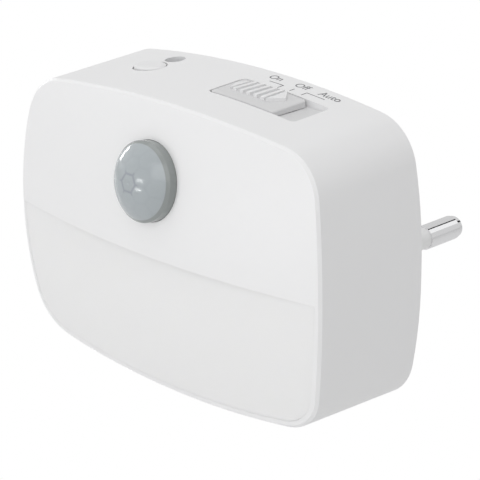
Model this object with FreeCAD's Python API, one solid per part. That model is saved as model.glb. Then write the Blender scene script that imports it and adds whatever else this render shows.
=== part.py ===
import FreeCAD, Part
import math
import os

from FreeCAD import Placement, Rotation, Vector

# Plug-in night light with a motion sensor, in millimetres.
# The case frame has X to the right, Y backwards from the front edge and Z up from mid-height.
# Each piece is moved at the end, so that the origin lies on the plug's face, midway between the pins.

# Case outline: two long arcs and a corner arc in each quarter
HALF_WIDTH = 33.0
HALF_HEIGHT = 23.0
SIDE_RADIUS = 75.6
TOP_RADIUS = 181.9
CORNER_RADIUS = 8.0
CASE_DEPTH = 23.05
HEIGHT_DRAFT = 0.88
EDGE_CHAMFER = 0.4

# Crowned front: how far the middle stands forward, and the edges fall back
FRONT_BULGE = 1.55
SIDE_SWEEP = 1.75
TOP_SWEEP = 2.52

# Walls
SIDE_WALL = 1.8
FRONT_WALL = 2.0
COVER_PLATE = 2.0
COVER_GAP = 0.1
FIT_GAP = 0.05
DIFFUSER_GAP = 0.02

# Light diffuser: the scooped lower front
LEDGE_HEIGHT = 0.1
SCOOP_DEPTH = 2.6
DIFFUSER_WALL = 1.8
RIM_WIDTH = 1.0
LEDGE_RIB = 1.6
LEDGE_RIB_DEPTH = 7.0

# Motion sensor lens, square to the crowned front
LENS_DROP = 11.45
LENS_RADIUS = 6.1
LENS_RIM = 1.2
LENS_CAP = 2.8
LENS_SKIN = 0.6
FACET_WIDTH = 3.3
FACET_RINGS = 2
LENS_FLANGE = 1.4
LENS_FLANGE_RADIUS = 7.5
LENS_SEAT = 1.8
BOSS_RADIUS = 8.7
CLIP_THICKNESS = 1.0
CLIP_BORE = 5.6

# Slide switch: the pocket, its knob and the three places
POCKET_LEFT = 1.6
POCKET_WIDTH = 7.5
POCKET_DEPTH = 1.0
POCKET_CORNER = 0.8
POCKET_FLOOR = 1.2
KNOB_LENGTH = 13.0
KNOB_GAP = 0.2
KNOB_LIFT = 0.1
KNOB_CHAMFER = 0.25
KNOB_PROUD = 0.15
KNOB_TRAVEL = 4.4
STEM_LENGTH = 4.4
STEM_WIDTH = 3.2
STEM_GAP = 0.3
LEVER_SIZE = 1.8
LEVER_HEIGHT = 2.6
SLIDE_BODY = (12.4, 4.8, 3.8)
SLIDE_DROP = 3.0
RIB_COUNT = 5
RIB_PITCH = 1.7
RIB_WIDTH = 0.7
RIB_RISE = 0.3
ARROW_LENGTH = 1.5

# Push button and the switch under it
BUTTON_INSET = 17.3
BUTTON_RADIUS = 2.5
BUTTON_GAP = 0.25
BUTTON_PROUD = 0.35
BUTTON_TRAVEL = 0.5
BUTTON_BEVEL = (0.5, 0.2)
BUTTON_EAR = 3.6
BUTTON_EAR_WIDTH = 2.0
BUTTON_EAR_THICK = 0.8
BUTTON_EAR_GAP = 0.15
BUTTON_STEM = 1.4
BUTTON_STEM_LENGTH = 1.0
TACT_BODY = (6.0, 4.3, 3.4)
PLUNGER_RADIUS = 1.0
PLUNGER_RISE = 1.1
PLUNGER_SUNK = 0.6
PLUNGER_GAP = 0.3

# Daylight sensor: a light pipe in a round recess
WINDOW_OFFSET = 0.6
WINDOW_RADIUS = 1.6
WINDOW_RECESS = 0.9
PIPE_BOSS = 1.0
SENSOR_GAP = 0.3
PHOTO_BODY = (3.0, 2.0, 2.6)
PHOTO_LENS = 0.9

# Circuit board, parallel to the back
BOARD_THICK = 1.6
BOARD_REAR_ROOM = 2.85
BOARD_SIDE_ROOM = 3.2
BOARD_LOW_ROOM = 4.0
BOARD_TOP_ROOM = 5.1
POST_INSET = 5.6
POST_RADIUS = 2.2
POST_FRONT = 5.0
BOARD_SCREW_RADIUS = 1.0
BOARD_SCREW_LENGTH = 6.0
BOARD_SCREW_HEAD = (2.0, 1.2)

# Case screws, at the corners
COLUMN_INSET = 6.8
COLUMN_RADIUS = 3.0
COLUMN_LENGTH = 8.0
COLUMN_CLEAR = 1.2
CASE_SCREW_RADIUS = 1.2
CASE_SCREW_LENGTH = 7.5
CASE_SCREW_HEAD = (2.3, 1.1)
HEAD_GAP = 0.2

# Lamps and the light box that spreads them
LAMP_COUNT = 6
LAMP_PITCH = 7.4
LAMP_RISE = 13.0
LAMP_SIZE = (2.8, 0.7, 3.5)
BOX_FLOOR = 1.0
BOX_WALL = 1.1
BOX_BACK_MARGIN = 2.0
BOX_BACK_HEIGHT = 11.0
BOX_SIDE_ROOM = 6.0
BOX_LOW_ROOM = 5.0
BOX_LEDGE_ROOM = 0.7

# Motion sensor and its holder
CAN_RADIUS = 4.1
CAN_FRONT = 3.8
CAN_HEIGHT = 3.6
CAN_BRIM = (4.6, 0.5)
CAN_WINDOW = (4.0, 3.0)
HOLDER_BORE = 3.4
LEAD_RADIUS = 0.25
LEAD_CIRCLE = 1.8
LEAD_PAST_BOARD = 0.8

# Power parts on the board
FILM_SIZE = (13.0, 9.8, 6.0)
FILM_INSET = 13.0
FILM_RISE = 5.3
CAN_CAP_RADIUS = 4.0
CAN_CAP_LENGTH = 11.0
CAN_CAP_GROOVE = 0.4
CAN_CAP_INSET = 11.0
CAN_CAP_RISE = 4.6
FUSE_RADIUS = 1.2
FUSE_LENGTH = 6.0
FUSE_X = -11.0
FUSE_RISE = 3.7
FUSE_STANDOFF = 0.3
FUSE_LEAD = 0.6
RECTIFIER_SIZE = (4.8, 1.5, 4.0)
RECTIFIER_PLACE = (14.0, 4.0)
CHIP_SIZE = (5.0, 1.5, 4.0)
CHIP_PLACE = (0.0, 4.5)

# Plug nose and pins
PIN_DROP = 8.7
NOSE_DEPTH = 16.9
NOSE_WIDTH = 35.3
NOSE_HEIGHT = 13.7
NOSE_CHAMFER = 4.2
NOSE_ROUND = 1.0
NOSE_WALL = 1.8
NOSE_TIP = 3.0
PIN_SPACING = 19.0
PIN_RADIUS = 2.0
PIN_LENGTH = 19.0
PIN_NECK_RADIUS = 1.4
PIN_TIP = 1.7
PIN_TIP_ANGLES = [math.radians(a) for a in (0, 30, 62)]
TIP_REACH = math.sin(PIN_TIP_ANGLES[-1])
PIN_FLANGE = (3.0, 1.4)
PIN_TAIL = 2.0
SLEEVE_RADIUS = 1.8
SLEEVE_LENGTH = 10.5
STRIP_WIDTH = 3.0
STRIP_THICK = 0.6

# Places that follow from the sizes above
FRONT = -10.0
PATCH_X = 1.2 * HALF_WIDTH
PATCH_Z = 1.3 * HALF_HEIGHT
NOSE_FACE = CASE_DEPTH + NOSE_DEPTH
NOSE_TIP_INNER = NOSE_FACE - NOSE_TIP
PIN_X = (-PIN_SPACING / 2, PIN_SPACING / 2)
COVER_FRONT = CASE_DEPTH - COVER_PLATE
BOARD_BACK = COVER_FRONT - BOARD_REAR_ROOM
BOARD_DEPTH = BOARD_BACK - BOARD_THICK
BOARD_HALF_WIDTH = HALF_WIDTH - BOARD_SIDE_ROOM
BOARD_BOTTOM = BOARD_LOW_ROOM - HALF_HEIGHT
BOARD_TOP = HALF_HEIGHT - BOARD_TOP_ROOM
POST_X = HALF_WIDTH - POST_INSET
POST_HEIGHT = LEDGE_HEIGHT + LEDGE_RIB / 2
COLUMN_X = HALF_WIDTH - COLUMN_INSET
COLUMN_HEIGHT = HALF_HEIGHT - COLUMN_INSET
COLUMN_FRONT = COVER_FRONT - COLUMN_LENGTH
LENS_HEIGHT = HALF_HEIGHT - LENS_DROP
POCKET_RIGHT = POCKET_LEFT + KNOB_LENGTH + KNOB_TRAVEL + 2 * KNOB_GAP
POCKET_MIDDLE = BOARD_DEPTH - SLIDE_BODY[1] / 2
POCKET_FRONT = POCKET_MIDDLE - POCKET_WIDTH / 2
POCKET_BACK = POCKET_MIDDLE + POCKET_WIDTH / 2
KNOB_CENTRE = POCKET_LEFT + KNOB_GAP + KNOB_LENGTH / 2
BUTTON_X = BUTTON_INSET - HALF_WIDTH
BUTTON_DEPTH = BOARD_DEPTH - TACT_BODY[1] / 2
WINDOW_X = BUTTON_X + WINDOW_OFFSET
WINDOW_DEPTH = BOARD_BACK + PHOTO_BODY[1] / 2
LAMP_HEIGHT = LAMP_RISE - HALF_HEIGHT
BOX_BACK_WIDTH = LAMP_PITCH * (LAMP_COUNT - 1) + BOX_BACK_MARGIN
BOX_FRONT_WIDTH = 2 * (HALF_WIDTH - BOX_SIDE_ROOM)
BOX_TOP = LEDGE_HEIGHT - BOX_LEDGE_ROOM
BOX_BOTTOM = BOX_LOW_ROOM - HALF_HEIGHT
RIB_TOP = LEDGE_HEIGHT + LEDGE_RIB
FILM_PLACE = (HALF_WIDTH - FILM_INSET, RIB_TOP + FILM_RISE)
CAN_CAP_PLACE = (CAN_CAP_INSET - HALF_WIDTH, RIB_TOP + CAN_CAP_RISE)
FUSE_PLACE = (FUSE_X, RIB_TOP + FUSE_RISE)


def block(x0, x1, y0, y1, z0, z1):
    return Part.makeBox(x1 - x0, y1 - y0, z1 - z0, Vector(x0, y0, z0))


def centred_block(size, x, y0, z):
    """A block of size (x, y, z) from depth y0 backwards, centred on x and z."""
    return block(x - size[0] / 2, x + size[0] / 2, y0, y0 + size[1], z - size[2] / 2, z + size[2] / 2)


def rod_back(radius, x, z, y0, y1):
    return Part.makeCylinder(radius, y1 - y0, Vector(x, y0, z), Vector(0, 1, 0))


def rod_up(radius, x, y, z0, z1):
    return Part.makeCylinder(radius, z1 - z0, Vector(x, y, z0), Vector(0, 0, 1))


def upright_edges(shape):
    """Edges along Z, for rounding the corners of a block."""
    return [e for e in shape.Edges if abs(e.tangentAt(e.FirstParameter).z) > 0.99]


def edges_along_y(shape):
    return [e for e in shape.Edges if abs(e.tangentAt(e.FirstParameter).y) > 0.95]


def half_height(y):
    return HALF_HEIGHT + HEIGHT_DRAFT * y / CASE_DEPTH


def top_surface(x, y):
    """Height of the case's top at x and depth y."""
    return half_height(y) - TOP_RADIUS + math.sqrt(TOP_RADIUS**2 - x**2)


def mirrored(point, side_x, side_z):
    return Vector(point.x * side_x, point.y, point.z * side_z)


def outline_at(inset, height, y):
    """The case's rounded outline of the given half height at depth y, drawn in by inset."""
    a = HALF_WIDTH - inset
    b = height - inset
    side_r = SIDE_RADIUS - inset
    top_r = TOP_RADIUS - inset
    corner_r = CORNER_RADIUS - inset
    side_c = Vector(a - side_r, 0, 0)
    top_c = Vector(0, 0, b - top_r)
    # The corner arc touches both long arcs from inside
    reach_side = side_r - corner_r
    reach_top = top_r - corner_r
    span = top_c - side_c
    along = (span.Length**2 + reach_side**2 - reach_top**2) / (2 * span.Length)
    off = math.sqrt(reach_side**2 - along**2)
    unit = span.normalize()
    corner_c = side_c + unit * along + Vector(-unit.z, 0, unit.x) * -off
    if corner_c.x < 0:
        corner_c = side_c + unit * along + Vector(-unit.z, 0, unit.x) * off
    to_side = (corner_c - side_c).normalize()
    to_top = (corner_c - top_c).normalize()
    low = side_c + to_side * side_r
    high = top_c + to_top * top_r
    middle = corner_c + (to_side + to_top).normalize() * corner_r
    at = Vector(0, y, 0)
    edges = []
    for sx, sz in ((1, 1), (-1, 1), (-1, -1), (1, -1)):
        corner = [low, middle, high] if sx * sz > 0 else [high, middle, low]
        p = [mirrored(q, sx, sz) + at for q in corner]
        edges.append(Part.Arc(*p).toShape())
        # The long arc that follows this corner, anticlockwise
        if sx * sz > 0:
            top = Vector(0, y, sz * b)
            end = mirrored(high, -sx, sz) + at
            edges.append(Part.Arc(p[2], top, end).toShape())
        else:
            side = Vector(sx * a, y, 0)
            end = mirrored(low, sx, -sz) + at
            edges.append(Part.Arc(p[2], side, end).toShape())
    return Part.Wire(edges)


def drafted(inset, y0, y1):
    """The case's outline between two depths: its top and bottom halves tilt apart towards the back."""
    tilt = math.atan(HEIGHT_DRAFT / CASE_DEPTH)
    whole = Part.Face(outline_at(inset, half_height(y0), y0 - 2))
    halves = []
    for side in (-1, 1):
        z = sorted((0, side * 2 * HALF_HEIGHT))
        half = whole.common(block(-2 * HALF_WIDTH, 2 * HALF_WIDTH, FRONT - 5, CASE_DEPTH, *z))
        half = half.Faces[0].extrude(Vector(0, y1 - y0 + 4, 0))
        half.rotate(Vector(0, y0, 0), Vector(1, 0, 0), side * math.degrees(tilt))
        halves.append(half)
    x = HALF_WIDTH - inset
    lift = (y1 - y0 + 2) * math.tan(tilt)
    corners = [Vector(-x, y0, 0), Vector(-x, y1 + 2, -lift), Vector(-x, y1 + 2, lift), Vector(-x, y0, 0)]
    wedge = Part.Face(Part.makePolygon(corners)).extrude(Vector(2 * x, 0, 0))
    whole = halves[0].fuse([halves[1], wedge])
    trim = block(-2 * HALF_WIDTH, 2 * HALF_WIDTH, y0, y1, -2 * HALF_HEIGHT, 2 * HALF_HEIGHT)
    return whole.common(trim).removeSplitter()


def straight(inset, y0, y1):
    """The front outline carried straight back between two depths."""
    return Part.Face(outline_at(inset, HALF_HEIGHT, y0)).extrude(Vector(0, y1 - y0, 0))


def crown(x, z):
    """Depth of the crowned front at x and z."""
    u = (x / HALF_WIDTH) ** 2
    w = (z / HALF_HEIGHT) ** 2
    return SIDE_SWEEP * u + TOP_SWEEP * w - FRONT_BULGE * (1 - u) * (1 - w)


def scooped(x, z):
    """Depth of the diffuser: deepest in the middle under the ledge, flush at the sides and bottom."""
    across = 1 - (x / (HALF_WIDTH - RIM_WIDTH)) ** 2
    down = (z + HALF_HEIGHT - RIM_WIDTH) / (LEDGE_HEIGHT + HALF_HEIGHT - RIM_WIDTH)
    return crown(x, z) + SCOOP_DEPTH * across * down**2


def quadratic_poles(low, middle, high):
    return low, 2 * middle - (low + high) / 2, high


def behind(rule, setback, y_end=CASE_DEPTH + 10):
    """All that lies behind a front surface, moved back by setback."""
    xs = (-PATCH_X, 0, PATCH_X)
    zs = (-PATCH_Z, 0, PATCH_Z)
    rows = [quadratic_poles(*[rule(x, z) for z in zs]) for x in xs]
    columns = [quadratic_poles(*[row[k] for row in rows]) for k in range(3)]
    surface = Part.BezierSurface()
    surface.increase(2, 2)
    for i, x in enumerate(xs):
        for k, z in enumerate(zs):
            surface.setPole(i + 1, k + 1, Vector(x, columns[k][i] + setback, z))
    face = surface.toShape()
    return face.extrude(Vector(0, y_end + 40, 0))


def lens_frame():
    """Placement whose Z runs out of the front, square to it, at the lens."""
    step = 0.01
    slope = (crown(0, LENS_HEIGHT + step) - crown(0, LENS_HEIGHT - step)) / (2 * step)
    outward = Vector(0, -1, slope)
    return Placement(Vector(0, crown(0, LENS_HEIGHT), LENS_HEIGHT), Rotation(Vector(0, 0, 1), outward))


def placed(shape, placement):
    moved = shape.copy()
    moved.Placement = placement.multiply(moved.Placement)
    return moved


def turned(points):
    """A body turned about Z from a profile of (radius, height) points."""
    p = [Vector(r, 0, z) for r, z in points]
    face = Part.Face(Part.makePolygon(p + [p[0]]))
    return face.revolve(Vector(0, 0, 0), Vector(0, 0, 1), 360)


def pocket_level():
    """Height of the pocket's floor."""
    return top_surface((POCKET_LEFT + POCKET_RIGHT) / 2, POCKET_MIDDLE) - POCKET_DEPTH


def slide_top():
    """Top of the slide switch's body, under the pocket."""
    return pocket_level() - POCKET_FLOOR - SLIDE_DROP


def ceiling(x):
    """Height of the case's inner wall over x."""
    return HALF_HEIGHT - TOP_RADIUS + math.sqrt((TOP_RADIUS - SIDE_WALL)**2 - x**2)


def tact_top():
    """Top of the push switch's body, under the button's stem."""
    return ear_top() - BUTTON_EAR_THICK - BUTTON_STEM_LENGTH - PLUNGER_RISE


def button_top():
    return top_surface(BUTTON_X, BUTTON_DEPTH)


def column_places():
    return [(sx * COLUMN_X, sz * COLUMN_HEIGHT) for sx in (-1, 1) for sz in (-1, 1)]


def lamp_places():
    first = -LAMP_PITCH * (LAMP_COUNT - 1) / 2
    return [first + LAMP_PITCH * k for k in range(LAMP_COUNT)]


def lead_places():
    turns = [math.radians(90 + 120 * k) for k in range(3)]
    return [(LEAD_CIRCLE * math.cos(t), LENS_HEIGHT + LEAD_CIRCLE * math.sin(t)) for t in turns]


def case_blank():
    """The solid form of the case, with its crowned front and softened front edge."""
    blank = drafted(0, FRONT, CASE_DEPTH).common(behind(crown, 0))
    front_edges = [e for e in blank.Edges if e.BoundBox.YMax < CASE_DEPTH / 2]
    return blank.makeChamfer(EDGE_CHAMFER, front_edges)


def pocket_solid():
    """The room of the slide switch's pocket, open at the top."""
    floor = pocket_level()
    room = block(POCKET_LEFT, POCKET_RIGHT, POCKET_FRONT, POCKET_BACK, floor, floor + POCKET_DEPTH + 5)
    return room.makeFillet(POCKET_CORNER, upright_edges(room))


def stem_slit():
    """The slit in the pocket's floor that the knob's stem slides in."""
    x0 = KNOB_CENTRE - STEM_LENGTH / 2 - STEM_GAP
    x1 = KNOB_CENTRE + STEM_LENGTH / 2 + STEM_GAP + KNOB_TRAVEL
    half = STEM_WIDTH / 2 + STEM_GAP
    middle = POCKET_MIDDLE
    floor = pocket_level()
    return block(x0, x1, middle - half, middle + half, floor - 2 * POCKET_FLOOR, floor + 1)


def front_case():
    blank = case_blank()
    inside = straight(SIDE_WALL, FRONT, CASE_DEPTH + 1)
    below = block(-HALF_WIDTH, HALF_WIDTH, FRONT, CASE_DEPTH + 1, -2 * HALF_HEIGHT, LEDGE_HEIGHT)
    case = blank.cut(inside.common(behind(crown, FRONT_WALL))).cut(inside.common(below))

    # What stands inside the shell is cut to its outer form before it is joined
    floor = pocket_level()
    wall = SIDE_WALL
    tub = block(POCKET_LEFT - wall, POCKET_RIGHT + wall, POCKET_FRONT - wall, POCKET_BACK + wall,
                floor - POCKET_FLOOR, floor + 2 * POCKET_DEPTH)
    ledge = block(-HALF_WIDTH, HALF_WIDTH, FRONT, LEDGE_RIB_DEPTH, LEDGE_HEIGHT, RIB_TOP)
    frame = lens_frame()
    boss = placed(Part.makeCylinder(BOSS_RADIUS, LENS_SEAT + LENS_FLANGE, Vector(0, 0, -LENS_SEAT - LENS_FLANGE)), frame)
    window_top = top_surface(WINDOW_X, WINDOW_DEPTH)
    pipe_boss = rod_up(WINDOW_RADIUS + PIPE_BOSS, WINDOW_X, WINDOW_DEPTH, BOARD_TOP + COLUMN_CLEAR, window_top)
    inner = [tub, ledge, boss, pipe_boss]
    for side in (-1, 1):
        post = rod_back(POST_RADIUS, side * POST_X, POST_HEIGHT, POST_FRONT, BOARD_DEPTH)
        rib_end = side * HALF_WIDTH
        rib = block(min(side * POST_X, rib_end), max(side * POST_X, rib_end), POST_FRONT, BOARD_DEPTH,
                    LEDGE_HEIGHT, RIB_TOP)
        inner += [post, rib]
    for x, z in column_places():
        column = rod_back(COLUMN_RADIUS, x, z, COLUMN_FRONT, COVER_FRONT)
        reach = math.copysign(HALF_WIDTH, x)
        web = block(min(x, reach), max(x, reach), COLUMN_FRONT, COVER_FRONT, z - wall / 2, z + wall / 2)
        inner += [column, web]
    room = drafted(SIDE_WALL / 2, FRONT, COVER_FRONT).common(behind(crown, FRONT_WALL / 2))
    case = case.fuse([piece.common(room) for piece in inner])

    # The shoulder that the diffuser rests on
    rebate = straight(RIM_WIDTH, FRONT, CASE_DEPTH).cut(behind(scooped, DIFFUSER_WALL)).common(below)
    case = case.cut(rebate)

    # Lens hole and the pocket for the lens flange
    hole = Part.makeCylinder(LENS_RADIUS + FIT_GAP, 20, Vector(0, 0, -10))
    seat = Part.makeCylinder(LENS_FLANGE_RADIUS + FIT_GAP, 4, Vector(0, 0, -LENS_SEAT - 4))
    case = case.cut([placed(hole, frame), placed(seat, frame)])

    # Switch pocket, stem slit, button hole and light-sensor recess
    button_hole = rod_up(BUTTON_RADIUS + BUTTON_GAP, BUTTON_X, BUTTON_DEPTH, BOARD_TOP, 2 * HALF_HEIGHT)
    recess = rod_up(WINDOW_RADIUS + FIT_GAP, WINDOW_X, WINDOW_DEPTH, BOARD_TOP, 2 * HALF_HEIGHT)
    case = case.cut([pocket_solid(), stem_slit(), button_hole, recess])

    # Pilot holes for the screws
    pilots = []
    for side in (-1, 1):
        pilots.append(rod_back(BOARD_SCREW_RADIUS + FIT_GAP, side * POST_X, POST_HEIGHT,
                               BOARD_DEPTH - BOARD_SCREW_LENGTH, BOARD_DEPTH + 1))
    for x, z in column_places():
        pilots.append(rod_back(CASE_SCREW_RADIUS + FIT_GAP, x, z, COLUMN_FRONT + 1, COVER_FRONT + 1))
    return case.cut(pilots)


def diffuser():
    """The milky lower front: a scooped plate that rests on the shoulder of the side wall."""
    plate = straight(RIM_WIDTH + DIFFUSER_GAP, FRONT, CASE_DEPTH).common(behind(scooped, 0))
    plate = plate.cut(behind(scooped, DIFFUSER_WALL))
    below = block(-HALF_WIDTH, HALF_WIDTH, FRONT, CASE_DEPTH, -2 * HALF_HEIGHT, LEDGE_HEIGHT - DIFFUSER_GAP)
    return plate.common(below)


def facet_directions(sphere):
    """Directions from the dome's centre to its facets: a honeycomb wrapped over the sphere."""
    directions = []
    for i in range(-FACET_RINGS, FACET_RINGS + 1):
        for k in range(-FACET_RINGS, FACET_RINGS + 1):
            if abs(i + k) <= FACET_RINGS:
                x = FACET_WIDTH * i * math.sqrt(3) / 2
                z = FACET_WIDTH * (k + i / 2)
                tilt = math.hypot(x, z) / sphere
                turn = math.atan2(z, x)
                directions.append(Vector(math.sin(tilt) * math.cos(turn), math.sin(tilt) * math.sin(turn),
                                         math.cos(tilt)))
    return directions


def dome(radius, bottom, rim, rise):
    """A cylinder from bottom to rim, closed by a smooth cap."""
    sphere = (radius**2 + rise**2) / (2 * rise)
    cap = Part.makeSphere(sphere, Vector(0, 0, rim + rise - sphere))
    return Part.makeCylinder(radius, rim + rise - bottom, Vector(0, 0, bottom)).common(cap)


def faceted(radius, bottom, rim, rise):
    """A cylinder closed by flat facets that touch a cap: each gathers the warmth from one direction."""
    sphere = (radius**2 + rise**2) / (2 * rise)
    centre = Vector(0, 0, rim + rise - sphere)
    body = Part.makeCylinder(radius, rim + rise - bottom, Vector(0, 0, bottom))
    for out in facet_directions(sphere):
        waste = Part.makeBox(4 * radius, 4 * radius, radius, Vector(-2 * radius, -2 * radius, 0))
        waste.Placement = Placement(centre + out * sphere, Rotation(Vector(0, 0, 1), out)).multiply(waste.Placement)
        body = body.cut(waste)
    return body


def lens():
    """The sensor dome, smooth outside and faceted inside, with the flange that holds it behind the front."""
    low = -LENS_SEAT - LENS_FLANGE
    outer = dome(LENS_RADIUS, low, LENS_RIM, LENS_CAP)
    flange = Part.makeCylinder(LENS_FLANGE_RADIUS, LENS_FLANGE, Vector(0, 0, low))
    inner = faceted(LENS_RADIUS - LENS_SKIN, low, LENS_RIM - LENS_SKIN, LENS_CAP)
    return placed(outer.fuse(flange).cut(inner), lens_frame())


def lens_clip():
    """Ring that presses the lens flange against the front."""
    back = -LENS_SEAT - LENS_FLANGE - CLIP_THICKNESS
    ring = Part.makeCylinder(BOSS_RADIUS, CLIP_THICKNESS, Vector(0, 0, back))
    bore = Part.makeCylinder(CLIP_BORE, CLIP_THICKNESS, Vector(0, 0, back))
    return placed(ring.cut(bore), lens_frame())


def motion_sensor():
    """Metal can with a brim, a window in its face and three leads."""
    can = rod_back(CAN_RADIUS, 0, LENS_HEIGHT, CAN_FRONT, CAN_FRONT + CAN_HEIGHT)
    brim_front = CAN_FRONT + CAN_HEIGHT
    brim = rod_back(CAN_BRIM[0], 0, LENS_HEIGHT, brim_front, brim_front + CAN_BRIM[1])
    window = centred_block((CAN_WINDOW[0], 0.3, CAN_WINDOW[1]), 0, CAN_FRONT, LENS_HEIGHT)
    sensor = can.fuse(brim).cut(window)
    leads = [rod_back(LEAD_RADIUS, x, z, brim_front, BOARD_BACK + LEAD_PAST_BOARD) for x, z in lead_places()]
    return sensor.fuse(leads)


def sensor_holder():
    """Spacer that carries the sensor at the right distance from its lens."""
    front = CAN_FRONT + CAN_HEIGHT + CAN_BRIM[1]
    outer = rod_back(CAN_BRIM[0], 0, LENS_HEIGHT, front, BOARD_DEPTH)
    inner = rod_back(HOLDER_BORE, 0, LENS_HEIGHT, front, BOARD_DEPTH)
    return outer.cut(inner)


def slide_knob():
    """Ribbed knob with a stem that takes the switch lever."""
    floor = pocket_level() + KNOB_LIFT
    top = pocket_level() + POCKET_DEPTH + KNOB_PROUD
    x0 = POCKET_LEFT + KNOB_GAP
    body = block(x0, x0 + KNOB_LENGTH, POCKET_FRONT + KNOB_GAP, POCKET_BACK - KNOB_GAP, floor, top)
    body = body.makeFillet(POCKET_CORNER - KNOB_GAP, upright_edges(body))
    rim = [e for e in body.Edges if e.BoundBox.ZMin > top - FIT_GAP]
    body = body.makeChamfer(KNOB_CHAMFER, rim)
    middle = POCKET_MIDDLE
    centre = KNOB_CENTRE
    lever_top = slide_top() + LEVER_HEIGHT
    stem_low = slide_top() + POCKET_FLOOR / 2
    stem = block(centre - STEM_LENGTH / 2, centre + STEM_LENGTH / 2, middle - STEM_WIDTH / 2,
                 middle + STEM_WIDTH / 2, stem_low, floor)
    half = LEVER_SIZE / 2 + FIT_GAP
    socket = block(centre - half, centre + half, middle - half, middle + half, stem_low, lever_top)
    return body.fuse([stem] + knob_ribs(top)).cut(socket)


def knob_ribs(top):
    """Raised ribs across the knob, with an arrowhead at each end."""
    middle = POCKET_MIDDLE
    centre = KNOB_CENTRE
    span = (POCKET_BACK - POCKET_FRONT) / 2 - 4 * KNOB_GAP
    half = RIB_WIDTH / 2
    ribs = []
    for k in range(RIB_COUNT):
        x = centre + RIB_PITCH * (k - (RIB_COUNT - 1) / 2)
        rib = block(x - half, x + half, middle - span, middle + span, top, top + RIB_RISE)
        ribs.append(rib)
    for side in (-1, 1):
        start = centre + side * (RIB_PITCH * (RIB_COUNT - 1) / 2 + RIB_WIDTH)
        tip = start + side * ARROW_LENGTH
        p = [Vector(start, middle - span, top), Vector(tip, middle, top), Vector(start, middle + span, top)]
        inner = [Vector(q.x - side * RIB_WIDTH, q.y, q.z) for q in reversed(p)]
        wire = Part.makePolygon(p + inner + [p[0]])
        ribs.append(Part.Face(wire).extrude(Vector(0, 0, RIB_RISE)))
    return ribs


def slide_switch():
    """Switch body on the board, with a slot along its top for the lever."""
    x = KNOB_CENTRE + KNOB_TRAVEL / 2
    length, depth, height = SLIDE_BODY
    middle = POCKET_MIDDLE
    body = block(x - length / 2, x + length / 2, BOARD_DEPTH - depth, BOARD_DEPTH,
                 slide_top() - height, slide_top())
    half = LEVER_SIZE / 2 + STEM_GAP
    slot = block(KNOB_CENTRE - half, KNOB_CENTRE + KNOB_TRAVEL + half, middle - half, middle + half,
                 slide_top() - height / 2, slide_top())
    return body.cut(slot)


def switch_lever():
    middle = POCKET_MIDDLE
    x = KNOB_CENTRE
    half = LEVER_SIZE / 2
    low = slide_top() - SLIDE_BODY[2] / 2 + STEM_GAP
    return block(x - half, x + half, middle - half, middle + half, low, slide_top() + LEVER_HEIGHT)


def ear_top():
    """Top of the button's ears, under the case wall where the wall is lowest."""
    return ceiling(BUTTON_X - BUTTON_EAR) - BUTTON_EAR_GAP


def button_cap():
    """Round button with a bevelled top, two ears that keep it in, and a stem to the switch."""
    top = button_top() + BUTTON_PROUD
    high = ear_top()
    low = high - BUTTON_EAR_THICK
    slope = BUTTON_BEVEL
    head = turned([(0, low), (BUTTON_RADIUS, low), (BUTTON_RADIUS, top - slope[1]),
                   (BUTTON_RADIUS - slope[0], top), (0, top)])
    head.translate(Vector(BUTTON_X, BUTTON_DEPTH, 0))
    ears = block(BUTTON_X - BUTTON_EAR, BUTTON_X + BUTTON_EAR, BUTTON_DEPTH - BUTTON_EAR_WIDTH / 2,
                 BUTTON_DEPTH + BUTTON_EAR_WIDTH / 2, low, high)
    stem = rod_up(BUTTON_STEM, BUTTON_X, BUTTON_DEPTH, tact_top() + PLUNGER_RISE, low)
    return head.fuse([ears, stem])


def tact_switch():
    """Small push switch on the board, with a bore for its plunger."""
    width, depth, height = TACT_BODY
    body = block(BUTTON_X - width / 2, BUTTON_X + width / 2, BOARD_DEPTH - depth, BOARD_DEPTH,
                 tact_top() - height, tact_top())
    deep = PLUNGER_SUNK + BUTTON_TRAVEL + PLUNGER_GAP
    bore = rod_up(PLUNGER_RADIUS + PLUNGER_GAP, BUTTON_X, BUTTON_DEPTH, tact_top() - deep, tact_top())
    return body.cut(bore)


def tact_plunger():
    return rod_up(PLUNGER_RADIUS, BUTTON_X, BUTTON_DEPTH, tact_top() - PLUNGER_SUNK, tact_top() + PLUNGER_RISE)


def sensor_window():
    """Light pipe that leads daylight from the recess to the sensor."""
    top = top_surface(WINDOW_X, WINDOW_DEPTH) - WINDOW_RECESS
    return rod_up(WINDOW_RADIUS, WINDOW_X, WINDOW_DEPTH, photo_top() + SENSOR_GAP, top)


def photo_top():
    return BOARD_TOP


def photo_sensor():
    """Daylight sensor on the back of the board, with a round lens on top."""
    width, depth, height = PHOTO_BODY
    top = photo_top()
    base = top - PHOTO_LENS
    body = block(WINDOW_X - width / 2, WINDOW_X + width / 2, BOARD_BACK, BOARD_BACK + depth, base - height, base)
    lens_low = base - PHOTO_LENS / 2
    dome = rod_up(PHOTO_LENS, WINDOW_X, WINDOW_DEPTH, lens_low, top)
    return body.fuse(dome)


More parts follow.
